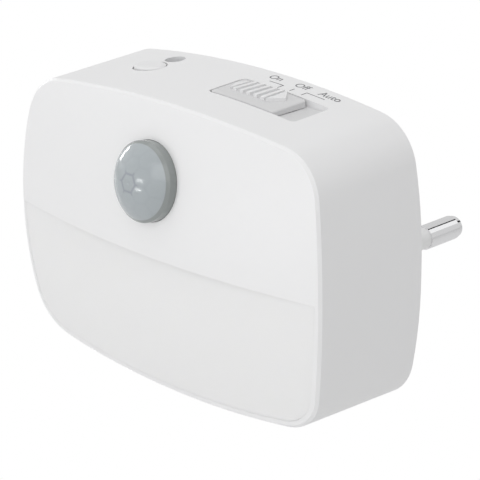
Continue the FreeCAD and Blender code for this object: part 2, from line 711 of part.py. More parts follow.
def main_board():
    """Circuit board with cut corners for the columns, screw holes and lead holes."""
    board = block(-BOARD_HALF_WIDTH, BOARD_HALF_WIDTH, BOARD_DEPTH, BOARD_BACK, BOARD_BOTTOM, BOARD_TOP)
    x0 = COLUMN_X - COLUMN_RADIUS - COLUMN_CLEAR
    z0 = COLUMN_HEIGHT - COLUMN_RADIUS - COLUMN_CLEAR
    cuts = []
    for sx in (-1, 1):
        for sz in (-1, 1):
            xs = sorted((sx * x0, sx * 2 * HALF_WIDTH))
            zs = sorted((sz * z0, sz * 2 * HALF_HEIGHT))
            cuts.append(block(*xs, BOARD_DEPTH, BOARD_BACK, *zs))
        cuts.append(rod_back(BOARD_SCREW_RADIUS + 2 * FIT_GAP, sx * POST_X, POST_HEIGHT, BOARD_DEPTH, BOARD_BACK))
    for x, z in lead_places():
        cuts.append(rod_back(LEAD_RADIUS + FIT_GAP, x, z, BOARD_DEPTH, BOARD_BACK))
    return board.cut(cuts)


def pan_screw(radius, length, head, x, z, y_head):
    """Pan-head screw that points forwards, with a cross recess; its head's underside is at y_head."""
    shank = rod_back(radius, x, z, y_head - length, y_head)
    cap = rod_back(head[0], x, z, y_head, y_head + head[1])
    slot = 0.5
    deep = head[1] / 2
    arm = head[0] * 0.6
    cross = [centred_block((2 * arm, deep, slot), x, y_head + head[1] - deep, z),
             centred_block((slot, deep, 2 * arm), x, y_head + head[1] - deep, z)]
    return shank.fuse(cap).cut(cross)


def board_screws():
    screws = [pan_screw(BOARD_SCREW_RADIUS, BOARD_SCREW_LENGTH, BOARD_SCREW_HEAD, side * POST_X,
                        POST_HEIGHT, BOARD_BACK)
              for side in (-1, 1)]
    return Part.makeCompound(screws)


def case_screws():
    y = CASE_DEPTH - CASE_SCREW_HEAD[1]
    screws = [pan_screw(CASE_SCREW_RADIUS, CASE_SCREW_LENGTH, CASE_SCREW_HEAD, x, z, y) for x, z in column_places()]
    return Part.makeCompound(screws)


def lamps():
    """Row of lamps on the front of the board."""
    y = BOARD_DEPTH - LAMP_SIZE[1]
    bodies = []
    for x in lamp_places():
        body = centred_block(LAMP_SIZE, x, y, LAMP_HEIGHT)
        cup = centred_block((LAMP_SIZE[0] - 0.6, 0.25, LAMP_SIZE[2] - 0.9), x, y, LAMP_HEIGHT)
        bodies.append(body.cut(cup))
    return Part.makeCompound(bodies)


def flared(front_box, back_box, front, back):
    """A solid with flat sides between two rectangles (x0, x1, z0, z1) at two depths."""
    def corners(box, y):
        x0, x1, z0, z1 = box
        return [Vector(x0, y, z0), Vector(x1, y, z0), Vector(x1, y, z1), Vector(x0, y, z1)]
    near = corners(front_box, front)
    far = corners(back_box, back)
    sides = [near, far]
    for k in range(4):
        n = (k + 1) % 4
        sides.append([near[k], near[n], far[n], far[k]])
    faces = [Part.Face(Part.makePolygon(p + [p[0]])) for p in sides]
    solid = Part.Solid(Part.Shell(faces))
    if solid.Volume < 0:
        solid.reverse()
    return solid


def light_box():
    """Flared white tray between the board and the diffuser, with a hole for each lamp."""
    front = crown(0, 0)
    floor = BOARD_DEPTH - BOX_FLOOR

    def mouth(wall):
        half = BOX_FRONT_WIDTH / 2 - wall
        return -half, half, BOX_BOTTOM + wall, BOX_TOP - wall

    def base(wall):
        half = BOX_BACK_WIDTH / 2 - wall
        tall = BOX_BACK_HEIGHT / 2 - wall
        return -half, half, LAMP_HEIGHT - tall, LAMP_HEIGHT + tall

    outer = flared(mouth(0), base(0), front, BOARD_DEPTH)
    inner = flared(mouth(BOX_WALL), base(BOX_WALL), front, floor)
    gap = 2 * FIT_GAP
    hole = (LAMP_SIZE[0] + 2 * gap, BOX_FLOOR, LAMP_SIZE[2] + 2 * gap)
    holes = [centred_block(hole, x, floor, LAMP_HEIGHT) for x in lamp_places()]
    tray = outer.cut(inner).cut(holes)
    return tray.common(behind(scooped, DIFFUSER_WALL + gap))


def film_capacitor():
    x, z = FILM_PLACE
    body = centred_block(FILM_SIZE, x, BOARD_DEPTH - FILM_SIZE[1], z)
    return body.makeFillet(0.6, edges_along_y(body))


def can_capacitor():
    """Electrolytic capacitor standing on the board, with the groove near its base and a scored top."""
    x, z = CAN_CAP_PLACE
    front = BOARD_DEPTH - CAN_CAP_LENGTH
    can = rod_back(CAN_CAP_RADIUS, x, z, front, BOARD_DEPTH)
    groove_y = BOARD_DEPTH - 1.8
    waist = rod_back(CAN_CAP_RADIUS - CAN_CAP_GROOVE, x, z, groove_y, groove_y + CAN_CAP_GROOVE)
    groove = rod_back(CAN_CAP_RADIUS + 1, x, z, groove_y, groove_y + CAN_CAP_GROOVE).cut(waist)
    score = [centred_block((5.0, 0.2, 0.4), x, front, z), centred_block((0.4, 0.2, 5.0), x, front, z)]
    return can.cut([groove] + score)


def fuse_resistor():
    """Resistor lying along X, with its leads bent into the board."""
    x, z = FUSE_PLACE
    y = BOARD_DEPTH - FUSE_STANDOFF - FUSE_RADIUS
    half = FUSE_LENGTH / 2
    body = Part.makeCylinder(FUSE_RADIUS, FUSE_LENGTH, Vector(x - half, y, z), Vector(1, 0, 0))
    lead = FUSE_LEAD
    reach = half + 1.0
    wire = Part.makeCylinder(0.8 * lead / 2, 2 * reach, Vector(x - reach, y, z), Vector(1, 0, 0))
    legs = [centred_block((lead, BOARD_DEPTH - y + lead / 2, lead), x + side * reach, y - lead / 2, z)
            for side in (-1, 1)]
    return body.fuse([wire] + legs)


def surface_chip(size, place):
    """Flat chip on the back of the board, with two legs on each side."""
    x, z = place
    body = centred_block(size, x, BOARD_BACK, z)
    legs = []
    for sx in (-1, 1):
        for sz in (-1, 1):
            leg_x = x + sx * size[0] / 2
            legs.append(centred_block((2.0, 0.4, 0.6), leg_x, BOARD_BACK, z + sz * size[2] / 4))
    return body.fuse(legs)


def nose_block(inset, y0, y1):
    """The plug nose: a flat eight-sided block that fits a recessed socket, with softened edges."""
    w = NOSE_WIDTH / 2 - inset
    h = NOSE_HEIGHT / 2 - inset
    c = NOSE_CHAMFER - inset * (2 - math.sqrt(2))
    corners = [(w, h - c), (w - c, h), (-w + c, h), (-w, h - c), (-w, -h + c), (-w + c, -h), (w - c, -h), (w, -h + c)]
    p = [Vector(x, y0, z - PIN_DROP) for x, z in corners]
    nose = Part.Face(Part.makePolygon(p + [p[0]])).extrude(Vector(0, y1 - y0, 0))
    return nose.makeFillet(NOSE_ROUND, edges_along_y(nose))


def back_cover():
    """Back plate and plug nose in one, hollow inside the nose."""
    plate = straight(SIDE_WALL + COVER_GAP, COVER_FRONT, CASE_DEPTH)
    nose = nose_block(0, COVER_FRONT + COVER_PLATE / 4, NOSE_FACE)
    tip = [e for e in nose.Edges if e.BoundBox.YMin > NOSE_FACE - FIT_GAP]
    nose = nose.makeChamfer(NOSE_ROUND / 2, tip)
    hollow = nose_block(NOSE_WALL, COVER_FRONT, NOSE_TIP_INNER)
    cover = plate.fuse(nose).cut(hollow)
    cuts = [rod_back(SLEEVE_RADIUS + FIT_GAP, x, -PIN_DROP, NOSE_TIP_INNER - 1, NOSE_FACE + 1) for x in PIN_X]
    for x, z in column_places():
        cuts.append(rod_back(CASE_SCREW_RADIUS + 2 * FIT_GAP, x, z, COVER_FRONT, CASE_DEPTH))
        cuts.append(rod_back(CASE_SCREW_HEAD[0] + HEAD_GAP, x, z, CASE_DEPTH - CASE_SCREW_HEAD[1], CASE_DEPTH + 1))
    return cover.cut(cuts)


def pin(x):
    """Round plug pin: tail, root flange, slim neck for the sleeve and a full-size end with a round tip."""
    flange_back = NOSE_TIP_INNER
    flange_front = flange_back - PIN_FLANGE[1]
    tail = rod_back(PIN_NECK_RADIUS, x, -PIN_DROP, flange_front - PIN_TAIL, flange_front)
    flange = rod_back(PIN_FLANGE[0], x, -PIN_DROP, flange_front, flange_back)
    shoulder = NOSE_FACE + SLEEVE_LENGTH
    neck = rod_back(PIN_NECK_RADIUS, x, -PIN_DROP, flange_back, shoulder)
    bare = PIN_LENGTH - SLEEVE_LENGTH
    tip = [(PIN_RADIUS * math.cos(t), bare - PIN_TIP * (1 - math.sin(t) / TIP_REACH)) for t in PIN_TIP_ANGLES]
    end = turned([(0, 0), (PIN_RADIUS, 0)] + tip + [(0, bare)])
    end.Placement = Placement(Vector(x, shoulder, -PIN_DROP), Rotation(Vector(0, 0, 1), Vector(0, 1, 0)))
    return tail.fuse([flange, neck, end])


def sleeve(x):
    """Insulating sleeve round the pin's neck, held in the nose."""
    outer = rod_back(SLEEVE_RADIUS, x, -PIN_DROP, NOSE_TIP_INNER, NOSE_FACE + SLEEVE_LENGTH)
    inner = rod_back(PIN_NECK_RADIUS + FIT_GAP, x, -PIN_DROP, NOSE_TIP_INNER, NOSE_FACE + SLEEVE_LENGTH)
    return outer.cut(inner)


def contact_strip(x):
    """Strip from the board's back to the pin's tail."""
    tail_end = NOSE_TIP_INNER - PIN_FLANGE[1] - PIN_TAIL
    half = STRIP_WIDTH / 2
    strip = block(x - half, x + half, BOARD_BACK, tail_end, -PIN_DROP - STRIP_THICK / 2, -PIN_DROP + STRIP_THICK / 2)
    foot = block(x - half, x + half, BOARD_BACK, BOARD_BACK + STRIP_THICK, -PIN_DROP - STRIP_WIDTH, -PIN_DROP)
    return strip.fuse(foot)


PIECES = {
    "front_case": front_case,
    "diffuser": diffuser,
    "back_cover": back_cover,
    "sensor_lens": lens,
    "lens_clip": lens_clip,
    "motion_sensor": motion_sensor,
    "sensor_holder": sensor_holder,
    "slide_knob": slide_knob,
    "slide_switch": slide_switch,
    "switch_lever": switch_lever,
    "button_cap": button_cap,
    "tact_switch": tact_switch,
    "tact_plunger": tact_plunger,
    "sensor_window": sensor_window,
    "photo_sensor": photo_sensor,
    "main_board": main_board,
    "board_screws": board_screws,
    "case_screws": case_screws,
    "lamps": lamps,
    "light_box": light_box,
    "film_capacitor": film_capacitor,
    "can_capacitor": can_capacitor,
    "fuse_resistor": fuse_resistor,
    "rectifier": lambda: surface_chip(RECTIFIER_SIZE, RECTIFIER_PLACE),
    "control_chip": lambda: surface_chip(CHIP_SIZE, CHIP_PLACE),
    "pin_left": lambda: pin(PIN_X[0]),
    "pin_right": lambda: pin(PIN_X[1]),
    "sleeve_left": lambda: sleeve(PIN_X[0]),
    "sleeve_right": lambda: sleeve(PIN_X[1]),
    "contact_left": lambda: contact_strip(PIN_X[0]),
    "contact_right": lambda: contact_strip(PIN_X[1]),
}


def main():
    os.makedirs("parts", exist_ok=True)
    to_plug_frame = Vector(0, -NOSE_FACE, PIN_DROP)
    for name, make in PIECES.items():
        shape = make().removeSplitter()
        shape.translate(to_plug_frame)
        shape.exportStep(f"parts/{name}.step")
        box = shape.BoundBox
        print(name, len(shape.Solids), shape.isValid(), round(shape.Volume, 1),
              [round(v, 2) for v in (box.XMin, box.XMax, box.YMin, box.YMax, box.ZMin, box.ZMax)])


main()
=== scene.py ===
import math

import bmesh
import bpy
from mathutils import Matrix, Vector


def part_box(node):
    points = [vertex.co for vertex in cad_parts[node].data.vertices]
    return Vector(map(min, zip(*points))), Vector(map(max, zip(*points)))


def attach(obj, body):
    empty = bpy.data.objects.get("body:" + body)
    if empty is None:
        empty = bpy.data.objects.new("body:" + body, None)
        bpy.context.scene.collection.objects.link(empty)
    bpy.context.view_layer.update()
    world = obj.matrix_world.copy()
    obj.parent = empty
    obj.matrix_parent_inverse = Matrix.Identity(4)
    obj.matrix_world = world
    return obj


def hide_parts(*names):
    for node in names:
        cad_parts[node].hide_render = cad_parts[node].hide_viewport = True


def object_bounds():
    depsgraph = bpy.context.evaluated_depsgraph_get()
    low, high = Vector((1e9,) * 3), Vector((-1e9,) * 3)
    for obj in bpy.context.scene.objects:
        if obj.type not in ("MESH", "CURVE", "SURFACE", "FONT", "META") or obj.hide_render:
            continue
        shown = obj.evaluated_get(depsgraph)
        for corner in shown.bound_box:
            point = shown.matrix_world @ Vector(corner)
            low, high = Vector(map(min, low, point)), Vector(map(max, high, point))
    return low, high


MM = 0.001
FRAME_PIXELS = 480
SENSOR_WIDTH = 36.0

# Camera, fitted to the outline of the case in the photograph
CAMERA_AZIMUTH = 46.04
CAMERA_ELEVATION = 20.62
CAMERA_ROLL = -0.745
CAMERA_DISTANCE = 308.1 * MM
CAMERA_TARGET = Vector((18.83, -39.95, 15.767)) * MM
FOCAL_PIXELS = 2165.8

# Light: strength of the white surroundings, then each lamp's place and size in metres, and its watts
FILL = 0.60
LAMPS = {
    "above": ((-0.08, 0.0, 0.6), (0.5, 0.5), 0.85),
    "front": ((0.3, -0.6, 0.45), (0.5, 0.5), 1.0),
    "strip_front": ((-0.17, -0.71, 0.11), (0.2, 0.05), 0.4),
    "strip_low": ((-0.2, -0.65, -0.075), (0.2, 0.02), 0.3),
    "strip_left": ((-0.6, 0.05, 0.09), (0.04, 0.17), 0.3),
}
AIM = (0, -0.03, 0.01)

# Lettering behind the switch, in millimetres: text size, thickness and width of the printed lines
TEXT_SIZE = 2.05
INK_THICKNESS = 0.02
LINE_WIDTH = 0.16
LABEL_STEP = 2
# Each word's left end and the bends of its line, measured from the knob's middle and the pocket's back edge
LABELS = {
    "On": ((-4.4, 2.6), ((0.0, 0.35), (0.0, 1.6), (-2.9, 1.6))),
    "Off": ((1.0, 2.6), ((2.2, 0.65), (2.2, 1.7))),
    "Auto": ((6.0, 2.6), ((4.6, 0.65), (4.6, 1.85), (8.2, 1.85))),
}

# Corners 0 to 3 of a box are its lower ones and 4 to 7 those above them
BOX_FACES = ((3, 2, 1, 0), (4, 5, 6, 7), (0, 1, 5, 4), (1, 2, 6, 5), (2, 3, 7, 6), (3, 0, 4, 7))
FLOOR_HALF, FLOOR_HEIGHT = 3.0, -0.09

# What glossy surfaces mirror behind the object: directions at which grey walls and a dark gap lie
ROOM_BEHIND = 0.2
ROOM_TOP = 0.48
ROOM_GREY = 0.3
GAP_MIDDLE, GAP_HALF = 0.02, 0.07

# Moulded plastic and metal: noise scales, drift of colour and spread of roughness
GRAIN, GRAIN_DETAIL = 900.0, 4.0
DRIFT_SCALE, DRIFT = 45.0, 0.985
ROUGHNESS_SPREAD = 0.05
GRAIN_BUMP, GRAIN_DEPTH = 0.02, 0.02 * MM
GLOW_DEPTH = 0.8 * MM
MARK_SCALE, MARK_DEPTH = 1500.0, 0.01 * MM
MARK_SPREAD = (0.8, 1.3)

# Sensor lens: middle of its facets, how far it leans back, then pitch and look of the honeycomb
LENS_MIDDLE = Vector((0, -40.47, 20.25)) * MM
LENS_TILT = math.radians(10.08)
FACET_WIDTH = 2.6 * MM
FACET_LINE = 0.13
LINE_TONE = 0.5
# Distances from the middle, in facets, between which the outlines fade, and what is left of them
FADE = (0.62, 0.85, 0.15)
# Whole cells by which the grid is moved, so that no coordinate is below 0
GRID_SHIFT = 20
LENS_DARK = (0.375, 0.41, 0.42)
LENS_LIGHT = (0.435, 0.47, 0.495)
LENS_OUTLINE = (0.24, 0.25, 0.30)
# Radii past which the lens turns to the darker flank colour, a painted shade on its side
LENS_RIM = (5.6 * MM, 5.72 * MM)
LENS_FLANK_PAINTED_SHADE = (0.285, 0.305, 0.30)
LENS_ROUGHNESS, LENS_GLOW = 0.16, 0.15
LENS_BUMP, LENS_BUMP_DEPTH = 0.12, 0.3 * MM

# Switch pocket: gaps round the knob, room for its slide, and how much deeper the floor gets
POCKET_GAP = 0.2 * MM
SLIDE_ROOM = 4.6 * MM
WALL_SHAVE = 0.02 * MM
NEAR_GAP = 0.2 * MM
POCKET_DROP = 0.3 * MM
POCKET_PLACE = 17.5 * MM
CUTTER_HEIGHT = 3 * MM
SHARP_ANGLE = math.radians(30)
NORMAL_WEIGHT = 50
# The end of the slit that the knob leaves bare: its ends, half width and the depth of what closes it
SLIT_END = (14.92 * MM, 15.3 * MM)
SLIT_HALF = 1.92 * MM
SLIT_DEPTH = 0.8 * MM
# Plate on the bare floor, like a slide switch's cover plate, whose darker grey paints the pocket floor's shade:
# half thickness, left end, gap to the walls, and how far left its corners start
PLATE = 0.05 * MM
PLATE_START = 14.97 * MM
PLATE_END = 0.03 * MM
PLATE_LEAD = 2 * MM

# Slide knob as the photograph shows it: flush with the case, with ribs and an arrowhead at each end
KNOB_STRETCH = 0.15 * MM
KNOB_CORNER = 0.6 * MM
KNOB_BEVEL = 0.15 * MM
KNOB_PROUD = 0.03 * MM
KNOB_LIFT = 0.08 * MM
KNOB_SLICES = 16
STEM_HALF = (2.2 * MM, 1.6 * MM)
SOFT_BODY, SOFT_RIBS = 0.07 * MM, 0.05 * MM
RIB_COUNT = 5
RIB_PITCH = 1.45 * MM
RIB_WIDTH = 0.7 * MM
RIB_HEIGHT = 0.5 * MM
RIB_LENGTH = 4.5 * MM
RIB_BACK = 0.3 * MM
RIB_SHIFT = -0.8 * MM
# Rib tops stay this far under the top of the CAD box
RIB_MARGIN = 0.01 * MM
# From the last rib's middle to an arrowhead's base, in rib widths, and the way to its tip on each side
ARROW_START = 1.2
ARROWS = {-1: -1.1 * MM, 1: 1.9 * MM}
# How far beyond a hole's edge the case's top is measured
EDGE_STEP = 0.6 * MM

# Ring cut round the button, whose radius is that of its visible part
BUTTON_RADIUS = 2.5 * MM
BUTTON_MOAT = 0.15 * MM
MOAT_DEPTH = 0.9 * MM
MOAT_ROUND = 0.999
MOAT_STEPS = 12


def node_tree(material):
    """The material's nodes and links."""
    material.use_nodes = True
    return material.node_tree.nodes, material.node_tree.links


def moulded(name, colour, roughness, subsurface=0.0):
    """Moulded plastic: a fine grain in its bump and roughness, and a faint drift of colour."""
    material = bpy.data.materials.new(name)
    nodes, links = node_tree(material)
    surface = nodes["Principled BSDF"]
    place = nodes.new("ShaderNodeTexCoord")
    fine = nodes.new("ShaderNodeTexNoise")
    fine.inputs["Scale"].default_value = GRAIN
    fine.inputs["Detail"].default_value = GRAIN_DETAIL
    links.new(place.outputs["Object"], fine.inputs["Vector"])
    broad = nodes.new("ShaderNodeTexNoise")
    broad.inputs["Scale"].default_value = DRIFT_SCALE
    links.new(place.outputs["Object"], broad.inputs["Vector"])
    shade = nodes.new("ShaderNodeMapRange")
    shade.inputs["To Min"].default_value = roughness - ROUGHNESS_SPREAD
    shade.inputs["To Max"].default_value = roughness + ROUGHNESS_SPREAD
    links.new(fine.outputs["Fac"], shade.inputs["Value"])
    links.new(shade.outputs["Result"], surface.inputs["Roughness"])
    drift = nodes.new("ShaderNodeMix")
    drift.data_type = "RGBA"
    drift.inputs["A"].default_value = (*[c * DRIFT for c in colour], 1)
    drift.inputs["B"].default_value = (*colour, 1)
    links.new(broad.outputs["Fac"], drift.inputs["Factor"])
    links.new(drift.outputs["Result"], surface.inputs["Base Color"])
    relief = nodes.new("ShaderNodeBump")
    relief.inputs["Strength"].default_value = GRAIN_BUMP
    relief.inputs["Distance"].default_value = GRAIN_DEPTH
    links.new(fine.outputs["Fac"], relief.inputs["Height"])
    links.new(relief.outputs["Normal"], surface.inputs["Normal"])
    if subsurface:
        surface.inputs["Subsurface Weight"].default_value = subsurface
        surface.inputs["Subsurface Radius"].default_value = (1.0, 1.0, 0.9)
        surface.inputs["Subsurface Scale"].default_value = GLOW_DEPTH
    return material


def metal(name, colour, roughness, stretch=(1, 1, 1)):
    """Bare or plated metal with fine marks that run along one axis."""
    material = bpy.data.materials.new(name)
    nodes, links = node_tree(material)
    surface = nodes["Principled BSDF"]
    surface.inputs["Base Color"].default_value = (*colour, 1)
    surface.inputs["Metallic"].default_value = 1.0
    place = nodes.new("ShaderNodeTexCoord")
    scale = nodes.new("ShaderNodeMapping")
    scale.inputs["Scale"].default_value = stretch
    links.new(place.outputs["Object"], scale.inputs["Vector"])
    marks = nodes.new("ShaderNodeTexNoise")
    marks.inputs["Scale"].default_value = MARK_SCALE
    links.new(scale.outputs["Vector"], marks.inputs["Vector"])
    shade = nodes.new("ShaderNodeMapRange")
    shade.inputs["To Min"].default_value = roughness * MARK_SPREAD[0]
    shade.inputs["To Max"].default_value = roughness * MARK_SPREAD[1]
    links.new(marks.outputs["Fac"], shade.inputs["Value"])
    links.new(shade.outputs["Result"], surface.inputs["Roughness"])
    relief = nodes.new("ShaderNodeBump")
    relief.inputs["Strength"].default_value = GRAIN_BUMP
    relief.inputs["Distance"].default_value = MARK_DEPTH
    links.new(marks.outputs["Fac"], relief.inputs["Height"])
    links.new(relief.outputs["Normal"], surface.inputs["Normal"])
    return material


def paint(material, *nodes):
    """Gives the material to the named CAD nodes."""
    for node in nodes:
        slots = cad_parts[node].data.materials
        slots.clear()
        slots.append(material)


def vector_math(nodes, links, operation, *inputs):
    """One vector operation on sockets or constants; gives its vector, or its value for a length or dot product."""
    node = nodes.new("ShaderNodeVectorMath")
    node.operation = operation
    for k, value in enumerate(inputs):
        if isinstance(value, tuple):
            node.inputs[k].default_value = value
        else:
            links.new(value, node.inputs[k])
    return node.outputs["Value" if operation in ("LENGTH", "DOT_PRODUCT") else "Vector"]


def scalar_math(nodes, links, operation, *inputs):
    """One operation on sockets or numbers; gives its value."""
    node = nodes.new("ShaderNodeMath")
    node.operation = operation
    for k, value in enumerate(inputs):
        if isinstance(value, (int, float)):
            node.inputs[k].default_value = value
        else:
            links.new(value, node.inputs[k])
    return node.outputs["Value"]


def milky_lens():
    """Glossy milky plastic whose honeycomb of inner facets shows faintly as outlines and tones, with painted shade
    on the cap's flank.
    """
    material = bpy.data.materials.new("lens_grey")
    nodes, links = node_tree(material)
    surface = nodes["Principled BSDF"]
    surface.inputs["Roughness"].default_value = LENS_ROUGHNESS
    surface.inputs["Subsurface Weight"].default_value = LENS_GLOW
    surface.inputs["Subsurface Radius"].default_value = (1.0, 1.0, 1.0)
    surface.inputs["Subsurface Scale"].default_value = GLOW_DEPTH
    place = nodes.new("ShaderNodeTexCoord")
    near = vector_math(nodes, links, "SUBTRACT", place.outputs["Object"], tuple(LENS_MIDDLE))
    up = (0, math.sin(LENS_TILT), math.cos(LENS_TILT))
    across = vector_math(nodes, links, "DOT_PRODUCT", near, (1, 0, 0))
    rise = vector_math(nodes, links, "DOT_PRODUCT", near, up)
    join = nodes.new("ShaderNodeCombineXYZ")
    links.new(across, join.inputs["X"])
    links.new(rise, join.inputs["Z"])
    flat = vector_math(nodes, links, "MULTIPLY", join.outputs["Vector"],
                       (1 / FACET_WIDTH, 0, 1 / FACET_WIDTH))
    # The two offset grids of a honeycomb: the nearer cell centre is kept
    step = (math.sqrt(3), 1, 1)
    half = tuple(v / 2 for v in step)
    offsets = []
    for shift in ((0, 0, 0), half):
        move = tuple(GRID_SHIFT * c + h - t for c, h, t in zip(step, half, shift))
        start = vector_math(nodes, links, "ADD", flat, move)
        cell = vector_math(nodes, links, "MODULO", start, step)
        offset = vector_math(nodes, links, "SUBTRACT", cell, half)
        offsets.append(vector_math(nodes, links, "MULTIPLY", offset, (1, 0, 1)))
    lengths = [vector_math(nodes, links, "LENGTH", o) for o in offsets]
    first = scalar_math(nodes, links, "LESS_THAN", lengths[0], lengths[1])
    pick = nodes.new("ShaderNodeMix")
    pick.data_type = "VECTOR"
    links.new(first, pick.inputs["Factor"])
    vectors = [socket for socket in pick.inputs if socket.type == "VECTOR" and socket.name in ("A", "B")]
    links.new(offsets[1], vectors[0])
    links.new(offsets[0], vectors[1])
    offset = [socket for socket in pick.outputs if socket.type == "VECTOR"][0]
    size = vector_math(nodes, links, "ABSOLUTE", offset)
    # How near a point is to its cell's edge, which lies at 0.5
    upright = vector_math(nodes, links, "DOT_PRODUCT", size, (0, 0, 1))
    slanted = vector_math(nodes, links, "DOT_PRODUCT", size, (math.sqrt(3) / 2, 0, 0.5))
    reach = scalar_math(nodes, links, "MAXIMUM", upright, slanted)
    line = nodes.new("ShaderNodeMapRange")
    line.interpolation_type = "SMOOTHSTEP"
    line.inputs["From Min"].default_value = 0.5 - FACET_LINE
    line.inputs["From Max"].default_value = 0.5
    line.inputs["To Max"].default_value = LINE_TONE
    links.new(reach, line.inputs["Value"])
    # The middle facet shows most, and its neighbours fade towards the rim
    fade = nodes.new("ShaderNodeMapRange")
    fade.interpolation_type = "SMOOTHSTEP"
    fade.inputs["From Min"].default_value = FADE[0]
    fade.inputs["From Max"].default_value = FADE[1]
    fade.inputs["To Min"].default_value = 1.0
    fade.inputs["To Max"].default_value = FADE[2]
    links.new(vector_math(nodes, links, "LENGTH", flat), fade.inputs["Value"])
    shown = scalar_math(nodes, links, "MULTIPLY", line.outputs["Result"], fade.outputs["Result"])
    tone = nodes.new("ShaderNodeTexWhiteNoise")
    links.new(vector_math(nodes, links, "SUBTRACT", flat, offset), tone.inputs["Vector"])
    cells = nodes.new("ShaderNodeMix")
    cells.data_type = "RGBA"
    cells.inputs["A"].default_value = (*LENS_DARK, 1)
    cells.inputs["B"].default_value = (*LENS_LIGHT, 1)
    links.new(tone.outputs["Value"], cells.inputs["Factor"])
    lined = nodes.new("ShaderNodeMix")
    lined.data_type = "RGBA"
    links.new(shown, lined.inputs["Factor"])
    links.new(cells.outputs["Result"], lined.inputs["A"])
    lined.inputs["B"].default_value = (*LENS_OUTLINE, 1)
    # Painted shade: past its rim, the side of the cap gets a darker colour that stands in for the shade on its
    # flank
    rim = nodes.new("ShaderNodeMapRange")
    rim.interpolation_type = "SMOOTHSTEP"
    rim.inputs["From Min"].default_value = LENS_RIM[0] / FACET_WIDTH
    rim.inputs["From Max"].default_value = LENS_RIM[1] / FACET_WIDTH
    links.new(vector_math(nodes, links, "LENGTH", flat), rim.inputs["Value"])
    flank_painted_shade = nodes.new("ShaderNodeMix")
    flank_painted_shade.data_type = "RGBA"
    flank_painted_shade.inputs["B"].default_value = (*LENS_FLANK_PAINTED_SHADE, 1)
    links.new(rim.outputs["Result"], flank_painted_shade.inputs["Factor"])
    links.new(lined.outputs["Result"], flank_painted_shade.inputs["A"])
    links.new(flank_painted_shade.outputs["Result"], surface.inputs["Base Color"])
    relief = nodes.new("ShaderNodeBump")
    relief.inputs["Strength"].default_value = LENS_BUMP
    relief.inputs["Distance"].default_value = LENS_BUMP_DEPTH
    relief.invert = True
    links.new(scalar_math(nodes, links, "MULTIPLY", reach, reach), relief.inputs["Height"])
    links.new(relief.outputs["Normal"], surface.inputs["Normal"])
    return material


def camera():
    """The camera of the photograph, turned by hand because of its roll."""
    azimuth, elevation, roll = (math.radians(v) for v in (CAMERA_AZIMUTH, CAMERA_ELEVATION, CAMERA_ROLL))
    back = Vector((math.sin(azimuth) * math.cos(elevation), -math.cos(azimuth) * math.cos(elevation),
                   math.sin(elevation)))
    right = Vector((math.cos(azimuth), math.sin(azimuth), 0))
    up = back.cross(right)
    x = math.cos(roll) * right + math.sin(roll) * up
    y = -math.sin(roll) * right + math.cos(roll) * up
    data = bpy.data.cameras.new("camera")
    data.sensor_width = SENSOR_WIDTH
    data.lens = FOCAL_PIXELS * SENSOR_WIDTH / FRAME_PIXELS
    data.clip_start = 0.01
    made = bpy.data.objects.new("camera", data)
    place = CAMERA_TARGET + back * CAMERA_DISTANCE
    made.matrix_world = Matrix((
        (x.x, y.x, back.x, place.x),
        (x.y, y.y, back.y, place.y),
        (x.z, y.z, back.z, place.z),
        (0, 0, 0, 1)))
    bpy.context.scene.collection.objects.link(made)
    bpy.context.scene.camera = made


def area_light(name, place, aim, size, power):
    data = bpy.data.lights.new(name, "AREA")
    data.shape = "RECTANGLE"
    data.size, data.size_y = size
    data.energy = power
    light = bpy.data.objects.new(name, data)
    light.location = place
    light.rotation_euler = (Vector(aim) - Vector(place)).to_track_quat("-Z", "Y").to_euler()
    bpy.context.scene.collection.objects.link(light)


def either(nodes, links, *rays):
    """1 for the named kinds of ray."""
    path = nodes.new("ShaderNodeLightPath")
    total = path.outputs[rays[0]]
    for ray in rays[1:]:
        total = scalar_math(nodes, links, "MAXIMUM", total, path.outputs[ray])
    return total


def mirrored_room(nodes, links):
    """Brightness of the room that glossy things mirror: white, with grey walls and a dark gap behind."""
    place = nodes.new("ShaderNodeTexCoord")
    split = nodes.new("ShaderNodeSeparateXYZ")
    links.new(place.outputs["Generated"], split.inputs["Vector"])
    x, y, z = (split.outputs[k] for k in "XYZ")
    behind = scalar_math(nodes, links, "GREATER_THAN", y, ROOM_BEHIND)
    left = scalar_math(nodes, links, "LESS_THAN", x, 0.0)
    low = scalar_math(nodes, links, "LESS_THAN", z, ROOM_TOP)
    grey = scalar_math(nodes, links, "MAXIMUM", left, low)
    grey = scalar_math(nodes, links, "MULTIPLY", grey, behind)
    darker = scalar_math(nodes, links, "MULTIPLY", grey, ROOM_GREY)
    level = scalar_math(nodes, links, "SUBTRACT", 1.0, darker)
    above = scalar_math(nodes, links, "GREATER_THAN", z, 0.0)
    gap = scalar_math(nodes, links, "COMPARE", x, GAP_MIDDLE, GAP_HALF)
    gap = scalar_math(nodes, links, "MULTIPLY", gap, behind)
    gap = scalar_math(nodes, links, "MULTIPLY", gap, above)
    return scalar_math(nodes, links, "MULTIPLY", level, scalar_math(nodes, links, "SUBTRACT", 1.0, gap))


